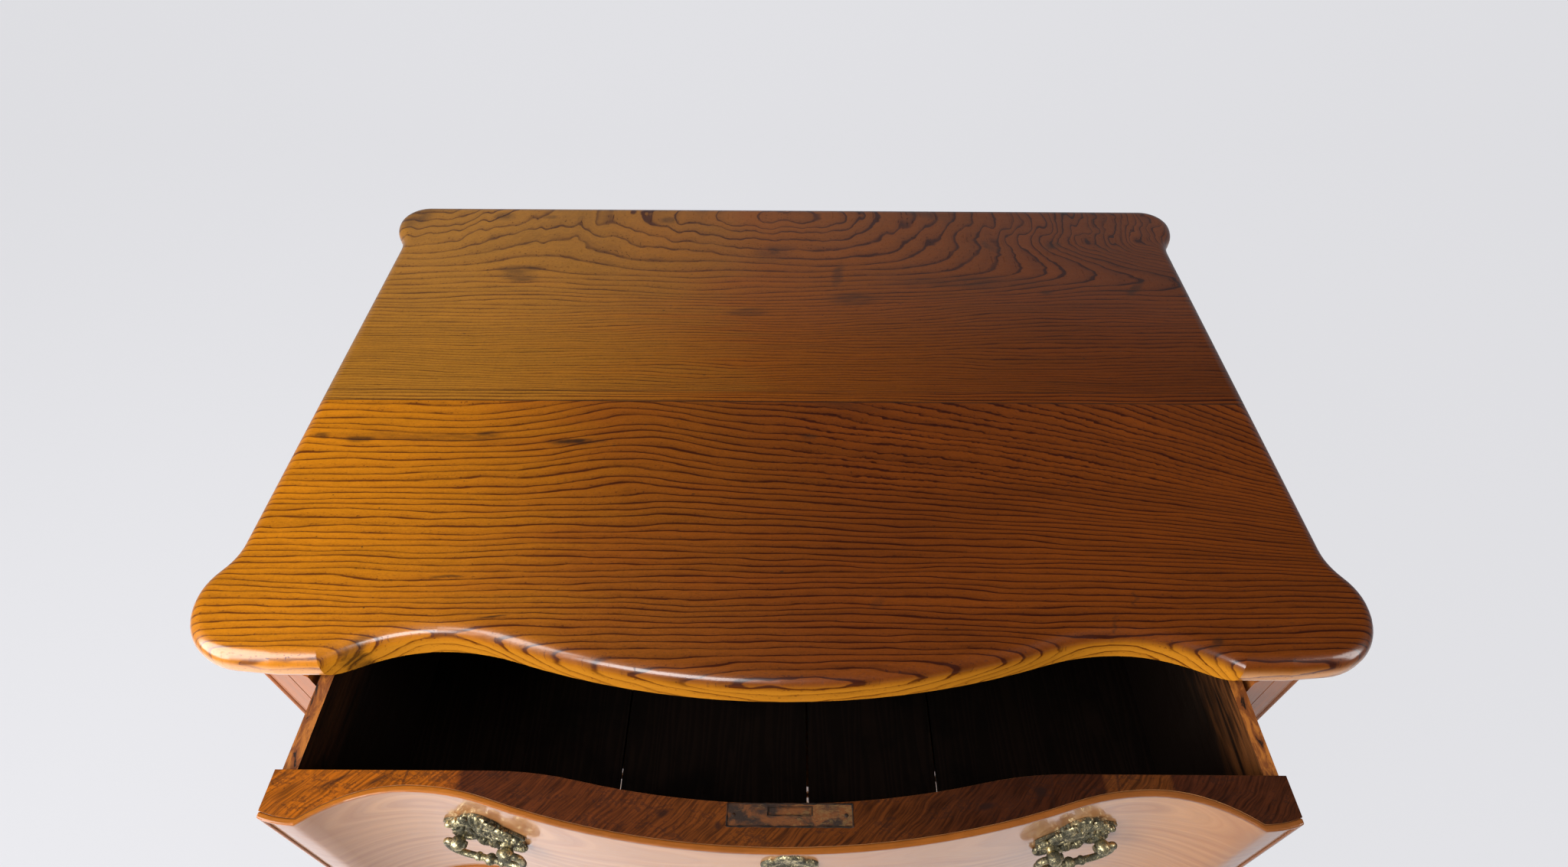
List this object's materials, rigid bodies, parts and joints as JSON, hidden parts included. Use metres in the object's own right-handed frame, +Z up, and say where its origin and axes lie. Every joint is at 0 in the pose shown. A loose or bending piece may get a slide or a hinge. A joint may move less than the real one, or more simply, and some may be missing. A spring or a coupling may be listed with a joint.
{
  "type": "chest of drawers",
  "caption": "Serpentine-fronted chest of drawers with a shaped top, canted moulded corner posts, bracket feet, drawer locks and swinging bail handles; top drawer part open.",
  "frame": {"origin": "on the floor, midway between the sides and between the rear edge of the top and the front of the top drawer as it rests, part open", "axes": "+Z up, +X to the right of someone who faces the drawers, the drawers pull out towards -Y"},
  "size_m": [0.952, 0.7494, 0.807],
  "materials": {
    "top_elm": "polished, shellac",
    "drawer_front_walnut": "polished",
    "case_walnut": "polished",
    "beading": "polished",
    "drawer_lining": "worn, waxed",
    "drawer_bottom_pine": "bare, aged",
    "inner_pine": "bare, aged",
    "old_brass": "aged, dark patina",
    "lock_iron": "rusted",
    "nail_iron": "forged, dark"
  },
  "bodies": {
    "case": {"top_front_board": "top_elm", "top_joint_strip": "top_elm", "top_rear_board": "top_elm", "right_front_post": "case_walnut", "left_front_post": "case_walnut", "right_rear_post": "case_walnut", "left_rear_post": "case_walnut", "right_side_panel": "case_walnut", "left_side_panel": "case_walnut", "back_boards": "inner_pine", "back_nails": "nail_iron", "base_rail": "case_walnut", "lower_rail": "case_walnut", "upper_rail": "case_walnut", "drawer_runners": "inner_pine", "drawer_guides": "inner_pine", "case_bottom": "inner_pine", "front_base_moulding": "case_walnut", "side_base_mouldings": "case_walnut", "right_front_foot": "case_walnut", "left_front_foot": "case_walnut", "right_rear_foot": "case_walnut", "left_rear_foot": "case_walnut", "foot_blocks": "inner_pine"},
    "top_drawer": {"top_drawer_front": "drawer_front_walnut", "top_drawer_left_side": "drawer_lining", "top_drawer_right_side": "drawer_lining", "top_drawer_back": "drawer_lining", "top_drawer_bottom": "drawer_bottom_pine", "top_drawer_beading": "beading", "top_drawer_lock": "lock_iron", "top_escutcheon": "old_brass", "top_handle_mounts": "old_brass"},
    "top_left_bail": {"top_left_bail": "old_brass"},
    "top_right_bail": {"top_right_bail": "old_brass"},
    "top_lock_bolt": {"top_lock_bolt": "lock_iron"},
    "middle_drawer": {"middle_drawer_front": "drawer_front_walnut", "middle_drawer_left_side": "drawer_lining", "middle_drawer_right_side": "drawer_lining", "middle_drawer_back": "drawer_lining", "middle_drawer_bottom": "drawer_bottom_pine", "middle_drawer_beading": "beading", "middle_drawer_lock": "lock_iron", "middle_escutcheon": "old_brass", "middle_handle_mounts": "old_brass"},
    "middle_left_bail": {"middle_left_bail": "old_brass"},
    "middle_right_bail": {"middle_right_bail": "old_brass"},
    "middle_lock_bolt": {"middle_lock_bolt": "lock_iron"},
    "bottom_drawer": {"bottom_drawer_front": "drawer_front_walnut", "bottom_drawer_left_side": "drawer_lining", "bottom_drawer_right_side": "drawer_lining", "bottom_drawer_back": "drawer_lining", "bottom_drawer_bottom": "drawer_bottom_pine", "bottom_drawer_beading": "beading", "bottom_drawer_lock": "lock_iron", "bottom_escutcheon": "old_brass", "bottom_handle_mounts": "old_brass"},
    "bottom_left_bail": {"bottom_left_bail": "old_brass"},
    "bottom_right_bail": {"bottom_right_bail": "old_brass"},
    "bottom_lock_bolt": {"bottom_lock_bolt": "lock_iron"}
  },
  "joints": [
    {"name": "top_drawer_slide", "type": "slide", "parent": "case", "child": "top_drawer", "axis": [0, -1, 0], "range_m": [-0.11, 0.2]},
    {"name": "top_left_bail_swing", "type": "hinge", "parent": "top_drawer", "child": "top_left_bail", "pos_m": [-0.2309, -0.34885, 0.698], "axis": [-0.9782, 0.2075, 0], "range_deg": [0, 90]},
    {"name": "top_right_bail_swing", "type": "hinge", "parent": "top_drawer", "child": "top_right_bail", "pos_m": [0.2309, -0.34885, 0.698], "axis": [-0.9782, -0.2075, 0], "range_deg": [0, 90]},
    {"name": "top_bolt_slide", "type": "slide", "parent": "top_drawer", "child": "top_lock_bolt", "axis": [0, 0, 1], "range_m": [0, 0.008]},
    {"name": "middle_drawer_slide", "type": "slide", "parent": "case", "child": "middle_drawer", "axis": [0, -1, 0], "range_m": [0, 0.31]},
    {"name": "middle_left_bail_swing", "type": "hinge", "parent": "middle_drawer", "child": "middle_left_bail", "pos_m": [-0.2309, -0.23885, 0.483], "axis": [-0.9782, 0.2075, 0], "range_deg": [0, 90]},
    {"name": "middle_right_bail_swing", "type": "hinge", "parent": "middle_drawer", "child": "middle_right_bail", "pos_m": [0.2309, -0.23885, 0.483], "axis": [-0.9782, -0.2075, 0], "range_deg": [0, 90]},
    {"name": "middle_bolt_slide", "type": "slide", "parent": "middle_drawer", "child": "middle_lock_bolt", "axis": [0, 0, 1], "range_m": [0, 0.008]},
    {"name": "bottom_drawer_slide", "type": "slide", "parent": "case", "child": "bottom_drawer", "axis": [0, -1, 0], "range_m": [0, 0.31]},
    {"name": "bottom_left_bail_swing", "type": "hinge", "parent": "bottom_drawer", "child": "bottom_left_bail", "pos_m": [-0.2309, -0.23885, 0.268], "axis": [-0.9782, 0.2075, 0], "range_deg": [0, 90]},
    {"name": "bottom_right_bail_swing", "type": "hinge", "parent": "bottom_drawer", "child": "bottom_right_bail", "pos_m": [0.2309, -0.23885, 0.268], "axis": [-0.9782, -0.2075, 0], "range_deg": [0, 90]},
    {"name": "bottom_bolt_slide", "type": "slide", "parent": "bottom_drawer", "child": "bottom_lock_bolt", "axis": [0, 0, 1], "range_m": [0, 0.008]}
  ]
}
